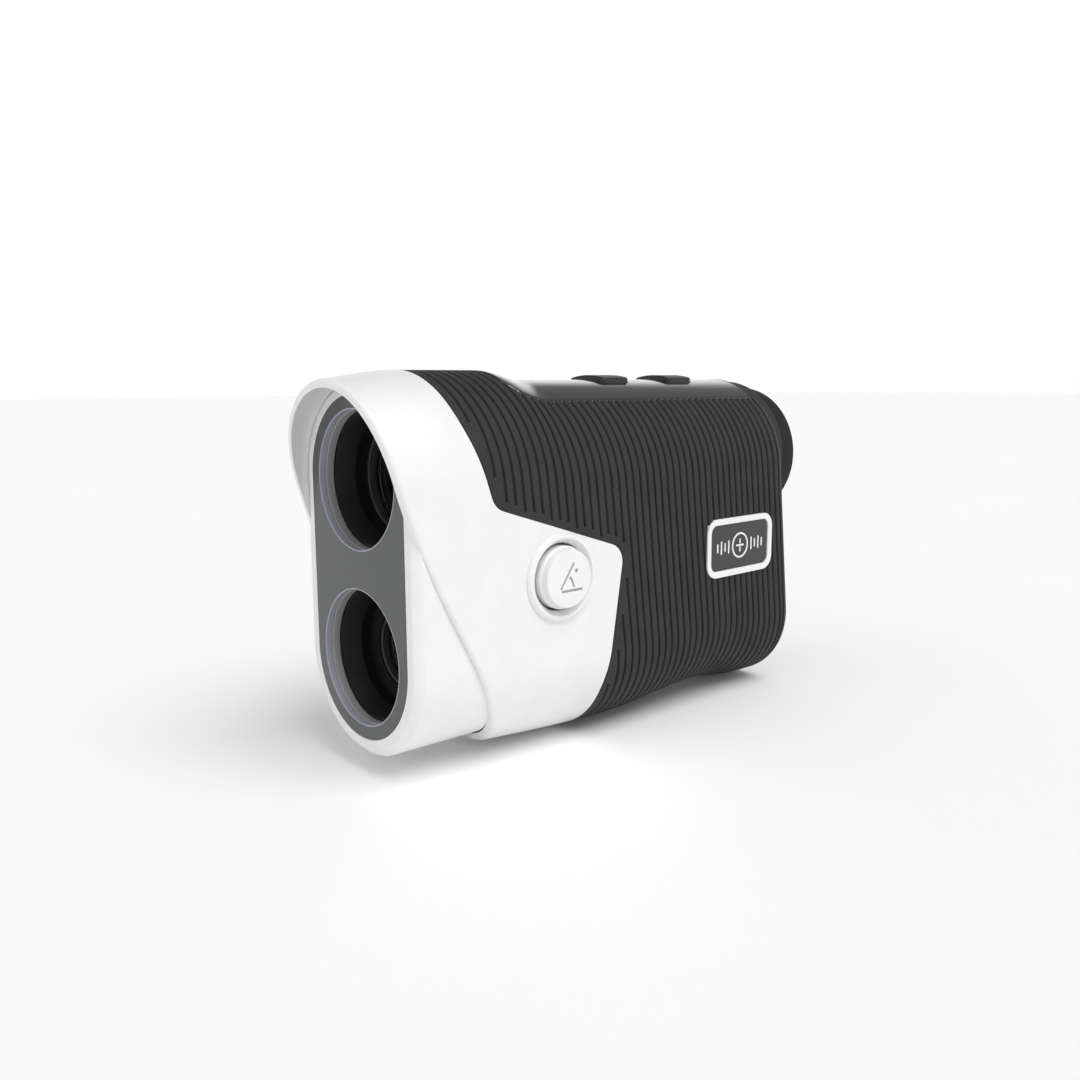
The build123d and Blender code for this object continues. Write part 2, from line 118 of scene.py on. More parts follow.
# ---- outlines -----------------------------------------------------------------------------
def eased(keys, y):
    """A value along Y that eases from key to key along half a cosine."""
    places = np.array([key[0] for key in keys], float)
    values = np.array([key[1] for key in keys], float)
    y = np.clip(y, places[0], places[-1])
    index = np.clip(np.searchsorted(places, y, side="right") - 1, 0, len(places) - 2)
    share = (y - places[index]) / (places[index + 1] - places[index])
    return values[index] + (values[index + 1] - values[index]) * (1 - np.cos(np.pi * share)) / 2


def rounded_line(points, radii, steps=14):
    """The open line through the points, with an arc of its radius at each inner corner."""
    points = [np.array(point, float) for point in points]
    line = [points[0]]
    for before, corner, after, radius in zip(points, points[1:], points[2:], radii):
        back = (before - corner) / np.linalg.norm(before - corner)
        on = (after - corner) / np.linalg.norm(after - corner)
        half_turn = (math.pi - math.acos(float(np.clip(back @ on, -1, 1)))) / 2
        middle = (back + on) / np.linalg.norm(back + on)
        centre = corner + middle * radius / math.cos(half_turn)
        for step in np.linspace(-1, 1, steps):
            angle = step * half_turn
            across = (on - back) / np.linalg.norm(on - back)
            line.append(centre - middle * radius * math.cos(angle) + across * radius * math.sin(angle))
    line.append(points[-1])
    return np.array(line)


def softened(points, radius, steps=4):
    """A closed outline with each corner rounded off; corners on the axis stay."""
    points = np.array(points, float)
    outline = []
    for before, corner, after in zip(np.roll(points, 1, 0), points, np.roll(points, -1, 0)):
        back, on = before - corner, after - corner
        back_length, on_length = np.linalg.norm(back), np.linalg.norm(on)
        turn = math.pi - math.acos(float(np.clip(back @ on / (back_length * on_length), -1, 1)))
        if abs(corner[0]) < 1e-9 or turn < 0.03:
            outline.append(corner)
            continue
        reach = min(radius * math.tan(turn / 2), 0.45 * back_length, 0.45 * on_length)
        start, end = corner + back * reach / back_length, corner + on * reach / on_length
        for t in np.linspace(0, 1, steps + 1):
            outline.append((1 - t) ** 2 * start + 2 * t * (1 - t) * corner + t * t * end)
    return np.array(outline)


def rounded_rectangle(half_a, half_b, radius, steps=8):
    """Points round a rectangle with round corners, anticlockwise."""
    points = []
    for quarter, (sign_a, sign_b) in enumerate([(1, 1), (-1, 1), (-1, -1), (1, -1)]):
        for turn in np.linspace(0, 0.5 * math.pi, steps + 1):
            angle = quarter * 0.5 * math.pi + turn
            points.append((sign_a * (half_a - radius) + radius * math.cos(angle),
                           sign_b * (half_b - radius) + radius * math.sin(angle)))
    return np.array(points)


def with_divided_sides(outline, runs=12):
    """A rounded rectangle's outline with its four straight sides divided."""
    corner_points = len(outline) // 4
    points = []
    for number, (start, end) in enumerate(zip(outline, np.roll(outline, -1, 0)), 1):
        count = runs if number % corner_points == 0 else 1
        points += [start + (end - start) * step / count for step in range(count)]
    return np.array(points)


def hood_edge(z):
    """Where along Y the white shell starts, at height z."""
    rise = np.clip(math.sin(RAKE) - (z - RAKE_Z) / HOOD_R, -1, 1)
    arc = RAKE_Y - HOOD_R * (np.sqrt(1 - rise ** 2) - math.cos(RAKE))
    return np.where(z < RAKE_Z, RAKE_Y + math.tan(RAKE) * (RAKE_Z - z), arc)


SEAM_LINE = rounded_line(SEAM, SEAM_R)
SEAM_STEPS = np.linspace(0, len(SEAM_LINE) - 1, 600)
SEAM_DOTS = np.column_stack([np.interp(SEAM_STEPS, np.arange(len(SEAM_LINE)), SEAM_LINE[:, side])
                             for side in (0, 1)])


def seam_edge(z):
    """Where along Y the rubber sleeve starts, at height z."""
    return np.interp(-z, -SEAM_LINE[:, 1], SEAM_LINE[:, 0])


def rear_edge(z):
    """Where along Y the body ends, at height z."""
    return REAR_Y - REAR_SLOPE * z


# ---- the body's surface -------------------------------------------------------------------
def rows_at(s):
    """Rows round the body. s runs 0-1 over the top, 1-2 down the right hand side (-X), 2-3
    under the bottom and 3-4 up the left. Gives outward x and z, and the share of the way down."""
    s = np.asarray(s, float)[:, None] % 4
    quarter = np.floor(s)
    part = s - quarter
    angle = np.select([quarter == 0, quarter == 1, quarter == 2],
                      [math.pi * part, math.pi, math.pi * (1 + part)], 0.0)
    down = np.select([quarter == 0, quarter == 1, quarter == 2], [0.0, part, 1.0], 1 - part)
    return np.cos(angle), np.sin(angle), down


FLANK_BANDS = [(0.0, 0.08, 4), (0.08, 0.24, 20), (0.24, 0.34, 8), (0.34, 0.54, 26), (0.54, 1.0, 18)]


def around(arc_rows=84):
    """Row places round the body, closer together where the seam turns on the flanks."""
    flank = np.concatenate([np.linspace(a, b, n, endpoint=False) for a, b, n in FLANK_BANDS])
    arc = np.linspace(0, 1, arc_rows, endpoint=False)
    return np.concatenate([arc, 1 + flank, 2 + arc, 4 - flank[::-1]])[:-1]


def surface(rows, y, inset=0.0):
    """Points on the body, inset millimetres under its skin."""
    out_x, out_z, down = rows
    y = np.broadcast_to(y, np.broadcast(y, out_x, inset).shape)
    half = eased(HALF_WIDTH, y)
    centre = (eased(TOP, y) - half) * (1 - down) + (eased(BOTTOM, y) + half) * down
    return np.stack([(half - inset) * out_x, y, centre + (half - inset) * out_z], -1)


def meet(rows, edge, inset):
    """The place along Y where each row meets an edge that is given by height."""
    shape = np.broadcast(rows[0], inset).shape
    low, high = np.full(shape, BODY_START), np.full(shape, BODY_END)
    for _ in range(36):
        middle = (low + high) / 2
        beyond = middle > edge(surface(rows, middle, inset)[..., 2])
        high = np.where(beyond, middle, high)
        low = np.where(beyond, low, middle)
    return (low + high) / 2


def crest(x, y, inset=0.0):
    """Height of the body's upper surface at a place seen from above."""
    half = eased(HALF_WIDTH, y)
    return eased(TOP, y) - half + np.sqrt(np.maximum((half - inset) ** 2 - x ** 2, 0))


# ---- mesh making --------------------------------------------------------------------------
def stack_faces(count, size, wrap, start=0):
    """Quads over a stack of equal loops, which wraps round or gets flat ends."""
    index = start + np.arange(count * size).reshape(count, size)
    upper = np.roll(index, -1, axis=0) if wrap else index[1:]
    lower = index if wrap else index[:-1]
    quads = np.stack([lower, np.roll(lower, -1, 1), np.roll(upper, -1, 1), upper], -1)
    faces = quads.reshape(-1, 4).tolist()
    if not wrap:
        faces += [index[0][::-1].tolist(), index[-1].tolist()]
    return faces


def mesh_of(name, stacks, wrap=True, merge=False):
    """A mesh object of one or more closed stacks of loops, with its faces looking outward."""
    points, faces = [], []
    count = 0
    for stack in stacks:
        stack_wraps = wrap if isinstance(wrap, bool) else wrap[len(points)]
        faces += stack_faces(stack.shape[0], stack.shape[1], stack_wraps, count)
        points.append(stack.reshape(-1, 3))
        count += stack.shape[0] * stack.shape[1]
    mesh = bpy.data.meshes.new(name)
    mesh.from_pydata((np.concatenate(points) * MM).tolist(), [], faces)
    shape = bmesh.new()
    shape.from_mesh(mesh)
    if merge:
        bmesh.ops.remove_doubles(shape, verts=shape.verts, dist=1e-7)
    bmesh.ops.recalc_face_normals(shape, faces=shape.faces)
    shape.to_mesh(mesh)
    shape.free()
    piece = bpy.data.objects.new(name, mesh)
    bpy.context.scene.collection.objects.link(piece)
    return piece


def carve(piece, cutter, solver="MANIFOLD"):
    """Cuts one mesh out of another and drops the cutter."""
    change = piece.modifiers.new("cut", "BOOLEAN")
    change.object = cutter
    change.operation = "DIFFERENCE"
    change.solver = solver
    graph = bpy.context.evaluated_depsgraph_get()
    cut = bpy.data.meshes.new_from_object(piece.evaluated_get(graph))
    piece.modifiers.clear()
    piece.data = cut
    bpy.data.objects.remove(cutter)
    return piece


def place(piece, look, body, *nodes, slot=None, angle=32):
    """Gives a piece its material and smooth shading, and ties it to the model."""
    piece.data.materials.clear()
    piece.data.materials.append(LOOKS[look])
    piece.data.shade_smooth()
    piece.data.set_sharp_from_angle(angle=math.radians(angle))
    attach(piece, body)
    if nodes:
        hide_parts(*nodes)
    return piece


def turned(name, outline, z=0.0, steps=144):
    """Turns an outline of (radius, y) points about the Y axis at height z."""
    return revolve(name, outline, steps, lambda r, along, a: (r * math.cos(a), along, z + r * math.sin(a)))


def turned_x(name, outline, steps=144):
    """Turns an outline of (radius, x) points about the slope button's axis."""
    return revolve(name, outline, steps, lambda r, along, a: (
        along, SLOPE_Y + r * math.cos(a), SLOPE_Z + r * math.sin(a)))


def revolve(name, outline, steps, point):
    angles = np.linspace(0, 2 * math.pi, steps, endpoint=False)
    loops = np.array([[point(r, along, a) for r, along in outline] for a in angles])
    return mesh_of(name, [loops], merge=True)


# ---- materials ----------------------------------------------------------------------------
def grey(level):
    """A linear neutral from an 8-bit display level."""
    return tuple(channel(level) for _ in range(3))


def channel(level):
    share = level / 255
    return share / 12.92 if share <= 0.04045 else ((share + 0.055) / 1.055) ** 2.4


def tone(red, green, blue):
    return (channel(red), channel(green), channel(blue))


def start_material(name, **sockets):
    """A new material with its shader's fixed values set; returns it with its nodes and links."""
    made = bpy.data.materials.new(name)
    made.use_nodes = True
    tree = made.node_tree
    shader = tree.nodes["Principled BSDF"]
    for socket, value in sockets.items():
        shader.inputs[socket.replace("_", " ")].default_value = value
    return made, tree, shader


def texture_space(tree, stretch, grain):
    """Object coordinates scaled so that one unit is a grain, longer along a stretched axis."""
    coords = tree.nodes.new("ShaderNodeTexCoord")
    mapping = tree.nodes.new("ShaderNodeMapping")
    mapping.inputs["Scale"].default_value = [part / (grain * MM) for part in stretch]
    tree.links.new(coords.outputs["Object"], mapping.inputs["Vector"])
    return mapping.outputs["Vector"]


def noise(tree, vector, detail=3.0):
    texture = tree.nodes.new("ShaderNodeTexNoise")
    texture.inputs["Scale"].default_value = 1.0
    texture.inputs["Detail"].default_value = detail
    tree.links.new(vector, texture.inputs["Vector"])
    return texture.outputs["Fac"]


def spread(tree, value, low, high, low_in=0.3, high_in=0.7):
    """Maps a texture value to a range."""
    scaled = tree.nodes.new("ShaderNodeMapRange")
    scaled.inputs["From Min"].default_value = low_in
    scaled.inputs["From Max"].default_value = high_in
    scaled.inputs["To Min"].default_value = low
    scaled.inputs["To Max"].default_value = high
    tree.links.new(value, scaled.inputs["Value"])
    return scaled.outputs["Result"]


def two_tone(tree, value, first, second):
    """A colour between two, by a texture value."""
    ramp = tree.nodes.new("ShaderNodeValToRGB")
    ramp.color_ramp.elements[0].color = (*first, 1)
    ramp.color_ramp.elements[1].color = (*second, 1)
    ramp.color_ramp.elements[0].position = 0.3
    ramp.color_ramp.elements[1].position = 0.7
    tree.links.new(value, ramp.inputs["Fac"])
    return ramp.outputs["Color"]


def bump(tree, shader, height, depth):
    """Relief of a depth in millimetres."""
    relief = tree.nodes.new("ShaderNodeBump")
    relief.inputs["Distance"].default_value = depth * MM
    tree.links.new(height, relief.inputs["Height"])
    tree.links.new(relief.outputs["Normal"], shader.inputs["Normal"])


def surface_look(name, dark, light, rough, grain, depth, patch=6.0, stretch=(1, 1, 1), **sockets):
    """A moulded or machined surface: a fine grain in relief, and slow changes of shade and gloss."""
    made, tree, shader = start_material(name, **sockets)
    fine = noise(tree, texture_space(tree, stretch, grain))
    slow = noise(tree, texture_space(tree, stretch, patch), detail=5.0)
    tree.links.new(two_tone(tree, slow, dark, light), shader.inputs["Base Color"])
    tree.links.new(spread(tree, fine, *rough), shader.inputs["Roughness"])
    bump(tree, shader, fine, depth)
    return made


def banded_metal(name, centre):
    """Anodised ring: a lavender grey lip in front of a brighter turned band, with turning marks."""
    made, tree, shader = start_material(name, Metallic=0.25)
    coords = tree.nodes.new("ShaderNodeTexCoord")
    split = tree.nodes.new("ShaderNodeSeparateXYZ")
    tree.links.new(coords.outputs["Object"], split.inputs["Vector"])
    band = spread(tree, split.outputs["Y"], 0.0, 1.0, 1.40 * MM, 1.44 * MM)
    colour = two_tone(tree, band, tone(178, 181, 196), tone(172, 170, 168))
    tree.links.new(colour, shader.inputs["Base Color"])
    tree.links.new(spread(tree, band, 0.42, 0.30, 0.0, 1.0), shader.inputs["Roughness"])
    shift = tree.nodes.new("ShaderNodeMapping")
    shift.inputs["Location"].default_value = (0, 0, -centre * MM)
    rings = tree.nodes.new("ShaderNodeTexWave")
    rings.wave_type = "RINGS"
    rings.rings_direction = "Y"
    rings.inputs["Scale"].default_value = 1 / (0.9 * MM)
    rings.inputs["Distortion"].default_value = 0.6
    rings.inputs["Detail"].default_value = 3.0
    tree.links.new(coords.outputs["Object"], shift.inputs["Vector"])
    tree.links.new(shift.outputs["Vector"], rings.inputs["Vector"])
    bump(tree, shader, rings.outputs["Fac"], 0.003)
    return made


def optical_glass(name, tint, coating):
    """Clear glass with a faint coating colour and slight dulling."""
    made, tree, shader = start_material(
        name, IOR=1.52, Specular_Tint=(*coating, 1), Transmission_Weight=1.0)
    dust = noise(tree, texture_space(tree, (1, 1, 1), 2.5), detail=8.0)
    colour = two_tone(tree, dust, tint, tuple(0.97 * part for part in tint))
    tree.links.new(colour, shader.inputs["Base Color"])
    tree.links.new(spread(tree, dust, 0.0, 0.008, 0.62, 0.8), shader.inputs["Roughness"])
    return made


def circuit_look(name):
    """Solder mask over copper tracks."""
    made, tree, shader = start_material(name)
    tracks = tree.nodes.new("ShaderNodeTexBrick")
    tracks.inputs["Color1"].default_value = (*tone(18, 84, 46), 1)
    tracks.inputs["Color2"].default_value = (*tone(22, 94, 52), 1)
    tracks.inputs["Mortar"].default_value = (*tone(58, 128, 78), 1)
    tracks.inputs["Scale"].default_value = 1.0
    tracks.inputs["Mortar Size"].default_value = 0.05
    tree.links.new(texture_space(tree, (1, 1, 1), 2.0), tracks.inputs["Vector"])
    tree.links.new(tracks.outputs["Color"], shader.inputs["Base Color"])
    tree.links.new(spread(tree, tracks.outputs["Fac"], 0.4, 0.3, 0.0, 1.0), shader.inputs["Roughness"])
    bump(tree, shader, tracks.outputs["Fac"], 0.03)
    return made


BRUSHED = (0.03, 1.0, 1.0)
LOOKS = {
    "white_plastic": surface_look(
        "white_plastic", grey(227), grey(231), (0.34, 0.44), 0.22, 0.0035, Coat_Weight=0.1),
    "plate_gloss": surface_look(
        "plate_gloss", tone(70, 72, 72), tone(73, 75, 75), (0.28, 0.31), 0.16, 0.0003, patch=0.8,
        stretch=BRUSHED, Specular_IOR_Level=0.6),
    "objective_trim": banded_metal("objective_trim", 0.0),
    "receiver_trim": banded_metal("receiver_trim", LOW),
    "lock_ring_dark": surface_look(
        "lock_ring_dark", grey(84), grey(96), (0.3, 0.42), 0.2, 0.004, Metallic=0.8),
    "barrel_black": surface_look(
        "barrel_black", grey(12), grey(16), (0.45, 0.6), 0.2, 0.006, Specular_IOR_Level=0.2),
    "lens_glass": optical_glass("lens_glass", tone(226, 232, 230), tone(190, 214, 204)),
    "prism_glass": optical_glass("prism_glass", tone(236, 242, 240), tone(240, 240, 240)),
    "grip_rubber": surface_look(
        "grip_rubber", grey(44), grey(49), (0.58, 0.72), 0.24, 0.012, Specular_IOR_Level=0.25),
    "eyecup_rubber": surface_look(
        "eyecup_rubber", grey(15), grey(20), (0.5, 0.64), 0.3, 0.01, Specular_IOR_Level=0.25),
    "gloss_black": surface_look(
        "gloss_black", grey(26), grey(30), (0.16, 0.22), 1.6, 0.001, Specular_IOR_Level=0.9,
        Coat_Weight=1.0, Coat_Roughness=0.08, Coat_IOR=1.8),
    "button_black": surface_look("button_black", grey(24), grey(29), (0.36, 0.5), 0.2, 0.008),
    "housing_black": surface_look(
        "housing_black", grey(34), grey(40), (0.48, 0.62), 0.26, 0.012, Specular_IOR_Level=0.35),
    "badge_black": surface_look("badge_black", grey(44), grey(50), (0.3, 0.4), 0.2, 0.003),
    "seal_rubber": surface_look("seal_rubber", grey(26), grey(34), (0.5, 0.7), 0.3, 0.01),
    "silicone": surface_look(
        "silicone", tone(190, 188, 182), tone(204, 202, 196), (0.3, 0.45), 0.5, 0.01,
        Subsurface_Weight=0.2),
    "switch_metal": surface_look(
        "switch_metal", grey(190), grey(206), (0.22, 0.36), 0.12, 0.003, stretch=BRUSHED, Metallic=1.0),
    "circuit_board": circuit_look("circuit_board"),
    "screw_steel": surface_look("screw_steel", grey(70), grey(86), (0.28, 0.42), 0.15, 0.004, Metallic=1.0),
    "battery_foil": surface_look(
        "battery_foil", tone(116, 142, 184), tone(130, 156, 196), (0.25, 0.4), 0.6, 0.02),
    "display_glass": surface_look(
        "display_glass", tone(150, 168, 160), tone(160, 178, 168), (0.05, 0.12), 0.8, 0.001,
        Transmission_Weight=0.6),
    # painted shade: grey for the sheets that stand for the shade inside the pictogram's cut strokes
    "icon_cut_shade_grey": surface_look(
        "icon_cut_shade_grey", grey(150), grey(160), (0.45, 0.55), 0.2, 0.004),
}


# ---- white shell, rubber sleeve and gloss strip -------------------------------------------
def skin_panel(name, front, back, front_lip, back_lip, columns):
    """A wrap-round skin between two edges, SKIN thick, with both outer edges rounded."""
    lip_steps, inner_columns = 5, 16
    turn = np.linspace(0, math.pi / 2, lip_steps)
    share = [np.zeros(lip_steps), np.linspace(0, 1, columns + 2)[1:-1], np.ones(lip_steps),
             np.linspace(1, 0, inner_columns)]
    shift = [front_lip * (1 - np.cos(turn)),
             front_lip * (1 - share[1]) - back_lip * share[1],
             back_lip * (np.sin(turn) - 1),
             np.zeros(inner_columns)]
    inset = [front_lip * (1 - np.sin(turn)), np.zeros(columns), back_lip * (1 - np.cos(turn)),
             np.full(inner_columns, SKIN)]
    share, shift, inset = (np.concatenate(parts)[None, :] for parts in (share, shift, inset))
    rows = rows_at(around())
    y = (1 - share) * meet(rows, front, inset) + share * meet(rows, back, inset) + shift
    return mesh_of(name, [surface(rows, y, inset)])


def make_front_shell():
    def back_edge(z):
        return seam_edge(z) - SEAM_GAP

    shell = skin_panel("front_shell_skin", hood_edge, back_edge, EDGE_R, SEAM_LIP, 44)
    carve(shell, turned_x("hole", [(0, 12), (SLOPE_HOLE_R, 12), (SLOPE_HOLE_R, 26), (0, 26)], 96))
    place(shell, "white_plastic", "housing", "front_shell")


def free_for_groove(rows, y):
    """Whether each row is clear of the seam's plain border and of the rear edge there."""
    place_of = surface(rows, y)[:, 0, :]
    along, height = place_of[:, 1], place_of[:, 2]
    away = np.hypot(along[:, None] - SEAM_DOTS[:, 0], height[:, None] - SEAM_DOTS[:, 1]).min(1)
    behind = along > seam_edge(height)
    return behind & (away >= GROOVE_BORDER) & (along <= rear_edge(height) - GROOVE_END)


def groove_line(rows, phase):
    """Where along Y a groove crosses each row."""
    y = np.full((len(rows[0]), 1), phase)
    for _ in range(4):
        y = phase - GROOVE_LEAN * surface(rows, y)[..., 2]
    return y


def groove_stack(spots, phase, section):
    """The bar that cuts one groove over a run of rows."""
    rows = rows_at(spots)
    y = groove_line(rows, phase)
    return surface(rows, y + section[:, 0][None, :], section[:, 1][None, :])


def groove_cutters():
    """All the grooves of the sleeve, as bars that follow the body."""
    wide = GROOVE_HALF + 0.5
    floor = GROOVE_HALF - 0.1
    section = np.array([(-wide, -0.4), (wide, -0.4), (GROOVE_HALF, 0.1), (floor, GROOVE_DEPTH),
                        (-floor, GROOVE_DEPTH), (-GROOVE_HALF, 0.1)])
    whole, fine, shortest = 300, 3200, 20     # rows in a whole groove, in a scan, in the least run
    step = 4 / fine
    scan = np.linspace(0, 4, fine, endpoint=False)
    rows = rows_at(scan)
    stacks, wraps = [], []
    for number in GROOVE_NUMBERS:
        phase = GROOVE_PHASE + GROOVE_PITCH * number
        free = free_for_groove(rows, groove_line(rows, phase))
        if free.all():
            stacks.append(groove_stack(np.linspace(0, 4, whole, endpoint=False), phase, section))
            wraps.append(True)
            continue
        if not free.any():
            continue
        first = np.flatnonzero(~free)[0]
        change = np.diff(np.roll(free, -first).astype(int), append=0)
        for start, end in zip(np.flatnonzero(change == 1) + 1, np.flatnonzero(change == -1)):
            if end - start < shortest:
                continue
            count = max(8, int((end - start) * whole / fine))
            spots = np.linspace(scan[first] + start * step, scan[first] + end * step, count)
            stacks.append(groove_stack(spots, phase, section))
            wraps.append(False)
    return mesh_of("grooves", stacks, wraps)


def strip_cutter():
    """The column over the gloss strip, with rounded front corners."""
    grow = 0.05
    length = 80.0
    outline = rounded_rectangle(STRIP_HALF + grow, length / 2 + grow, STRIP_CORNER)
    loops = [np.column_stack([outline[:, 0], outline[:, 1] + STRIP_FRONT + length / 2,
                              np.full(len(outline), z)]) for z in (5.0, 40.0)]
    return np.array(loops)


def badge_frame_axes():
    """Origin, rearward, up and outward directions of the badge, on the left side."""
    step = 5.0
    change = (eased(HALF_WIDTH, BADGE_Y + step) - eased(HALF_WIDTH, BADGE_Y - step)) / (2 * step)
    along = np.array([change, 1, 0]) / math.hypot(change, 1)
    out = np.array([1, -change, 0]) / math.hypot(change, 1)
    origin = np.array([eased(HALF_WIDTH, BADGE_Y), BADGE_Y, BADGE_Z])
    return origin, along, np.array([0, 0, 1.0]), out


def on_badge(outline, height):
    """A loop drawn on the badge's plane, raised by height."""
    origin, along, up, out = badge_frame_axes()
    return origin + outline[:, :1] * along + outline[:, 1:] * up + height * out


def badge_loop(shrink, height):
    corner = max(BADGE_CORNER - shrink, 0.3)
    return on_badge(rounded_rectangle(BADGE_L / 2 - shrink, BADGE_H / 2 - shrink, corner), height)


def make_grip_sleeve():
    sleeve = skin_panel("grip_sleeve_skin", seam_edge, rear_edge, SEAM_LIP, 0.5, 70)
    carve(sleeve, groove_cutters())
    badge_pocket = np.array([badge_loop(-0.03, -BADGE_SUNK - 0.05), badge_loop(-0.03, 4.0)])
    carve(sleeve, mesh_of("pockets", [strip_cutter(), badge_pocket], [False, False]))
    place(sleeve, "grip_rubber", "housing", "grip_sleeve")


def strip_section(y, at_front):
    """The strip's cross section at a station, as x and depth under the skin: over its top from
    one side to the other, and back underneath. Its front edge is rounded like its sides."""
    lip = 0.3
    turn = np.linspace(0, math.pi / 2, 5)
    across = np.linspace(-1, 1, 41)[1:-1]
    forward = max(STRIP_FRONT + STRIP_CORNER - y, 0.0)
    half = STRIP_HALF - STRIP_CORNER + math.sqrt(max(STRIP_CORNER ** 2 - forward ** 2, 0.0))
    edge = lip * max(0.0, 1 - (y - STRIP_FRONT) / lip) ** 2 if at_front else 0.0
    side_x = half - lip + lip * np.sin(turn)
    side_in = edge + (lip - edge) * (1 - np.cos(turn))
    x = np.concatenate([-side_x[::-1], across * (half - lip), side_x, [half, -half]])
    inset = np.concatenate([side_in[::-1], np.full(39, edge), side_in, [SKIN, SKIN]])
    return x, inset


def make_top_cover():
    """The gloss strip: cross sections from its round-cornered front back to the rear edge."""
    front_steps, stretched_from, last = 12, STRIP_FRONT + 5, 96.0
    round_part = STRIP_CORNER * (1 - np.cos(np.linspace(0, math.pi / 2, front_steps)))
    stations = np.concatenate([STRIP_FRONT + round_part, np.linspace(stretched_from, last, 74)])
    sections = [strip_section(y, number < front_steps) for number, y in enumerate(stations)]
    x, inset = (np.array(values) for values in zip(*sections))
    y = np.broadcast_to(stations[:, None], x.shape)
    reach = rear_edge(crest(x, y, inset)) - 0.02
    share = (y - stretched_from) / (last - stretched_from)
    y = np.where(y > stretched_from, stretched_from + share * (reach - stretched_from), y)
    strip = np.stack([x, y, crest(x, y, inset)], -1)
    cover = mesh_of("top_cover_strip", [strip], False)
    holes = []
    for centre in KEY_CENTRES.values():
        outline = rounded_rectangle(KEY_X / 2 + KEY_GAP, KEY_Y / 2 + KEY_GAP, 1.0)
        holes.append(np.array([np.column_stack([outline[:, 0], outline[:, 1] + centre,
                                                np.full(len(outline), height)]) for height in (9.0, 25.0)]))
    carve(cover, mesh_of("key_holes", holes, False))
    place(cover, "gloss_black", "housing", "top_cover")


def make_key(name, centre):
    """A crowned button: a flange under the strip, straight sides, a bevel and a soft top."""
    loops = []

    def ring(shrink, height=None, drop=0.0):
        corner = max(KEY_CORNER - shrink, 0.2)
        plan = rounded_rectangle(KEY_X / 2 - shrink, KEY_Y / 2 - shrink, corner)
        outline = with_divided_sides(plan)
        x, y = outline[:, 0], outline[:, 1] + centre
        z = np.full(len(x), height) if height is not None else crest(x, y, -KEY_PROUD) - drop
        loops.append(np.column_stack([x, y, z]))

    ring(-0.95, KEY_LEDGE)
    ring(-0.95, KEY_LEDGE + KEY_LEDGE_T)
    ring(0.0, KEY_LEDGE + KEY_LEDGE_T + 0.05)
    ring(0.0, 15.0)
    ring(0.0, drop=KEY_BEVEL + 0.12)
    for angle in np.linspace(0, math.pi / 2, 6):
        ring(KEY_BEVEL * (1 - math.cos(angle)), drop=KEY_BEVEL * (1 - math.sin(angle)))
    for shrink in (0.7, 1.2, 1.8, 2.4, 3.0, 3.4):
        ring(shrink)
    piece = mesh_of(name + "_button_cap", [np.array(loops)], False)
    place(piece, "button_black", name, name + "_button")


def make_domes():
    """The silicone domes under the buttons, which flatten as their buttons go in; here they are made only
    as they stand at rest.
    """
    profile = [(0, DOME_TOP), (1.2, DOME_TOP), (2.4, DOME_BASE), (1.8, DOME_BASE),
               (0.9, DOME_TOP - 0.45), (0, DOME_TOP - 0.45)]
    for name, centre in KEY_CENTRES.items():
        def point(r, along, a):
            return r * math.cos(a), centre + r * math.sin(a), along
        dome = revolve(name + "_soft_dome", softened(profile, 0.12, 3), 64, point)
        place(dome, "silicone", "housing", name + "_dome")
        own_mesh(dome)
    profile = [(0, 12.0), (1.2, 12.0), (1.2, 12.4), (2.6, SIDE_DOME_BASE), (2.9, SIDE_DOME_BASE),
               (1.2, 12.9), (0, 12.9)]
    dome = turned_x("slope_soft_dome", softened(profile, 0.12, 3), 64)
    place(dome, "silicone", "housing", "slope_dome")
    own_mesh(dome)


# ---- snout --------------------------------------------------------------------------------
def make_snout():
    """The white front housing: a wide chamfered rim below, a narrow one inside the hood."""
    rows = rows_at(around())
    down = rows[2]
    height = down * LOW + 18.0 * rows[1]
    wide = (1 - np.cos(math.pi * np.clip((-8.0 - height) / 3.5, 0, 1))) / 2
    radius = RIM_R + (SNOUT_R - RIM_R) * wide
    edge = RIM_EDGE + (SNOUT_EDGE - RIM_EDGE) * wide
    end_radius = 18.15 + (SNOUT_R - 18.15) * wide
    reach = hood_edge(down * LOW + SNOUT_R * rows[1]) - 0.02
    end = np.maximum(8.0 + (reach - 8.0) * wide, edge + 0.1)
    inner, ledge, floor = PLATE_R + 0.05, 14.7, 1.26
    same = np.ones_like(radius)
    outline = [(inner * same, 0.12 * same), ((inner + 0.12) * same, 0 * same),
               (radius - edge - 0.12, 0 * same), (radius - edge + 0.08, 0.08 * same),
               (radius - 0.1, edge - 0.1), (radius, edge + 0.1)]
    outline += [(radius + (end_radius - radius) * t, edge + 0.1 + (end - edge - 0.1) * t)
                for t in (0.25, 0.5, 0.75, 1.0)]
    outline += [(18.1 * same, end + 0.02), (18.1 * same, end + 3), (ledge * same, end + 3),
                (ledge * same, floor * same), (inner * same, floor * same)]
    r = np.concatenate([pair[0] for pair in outline], 1)
    y = np.concatenate([pair[1] for pair in outline], 1)
    points = np.stack([r * rows[0], y, down * LOW + r * rows[1]], -1)
    place(mesh_of("front_housing_snout", [points]), "white_plastic", "housing", "front_housing", angle=40)


# ---- lens groups --------------------------------------------------------------------------
def lens_outline(r, front, edge_front, edge_back, back, steps=20):
    """A biconvex lens as (radius, y) points, from the front centre round to the back centre."""
    def arc(centre, edge):
        sag = edge - centre
        big = (r * r + sag * sag) / (2 * abs(sag))
        radii = np.linspace(0, r, steps)
        return radii, centre + math.copysign(1, sag) * (big - np.sqrt(big * big - radii ** 2))
    near_r, near_y = arc(front, edge_front)
    far_r, far_y = arc(back, edge_back)
    return np.column_stack([np.concatenate([near_r, far_r[::-1]]), np.concatenate([near_y, far_y[::-1]])])


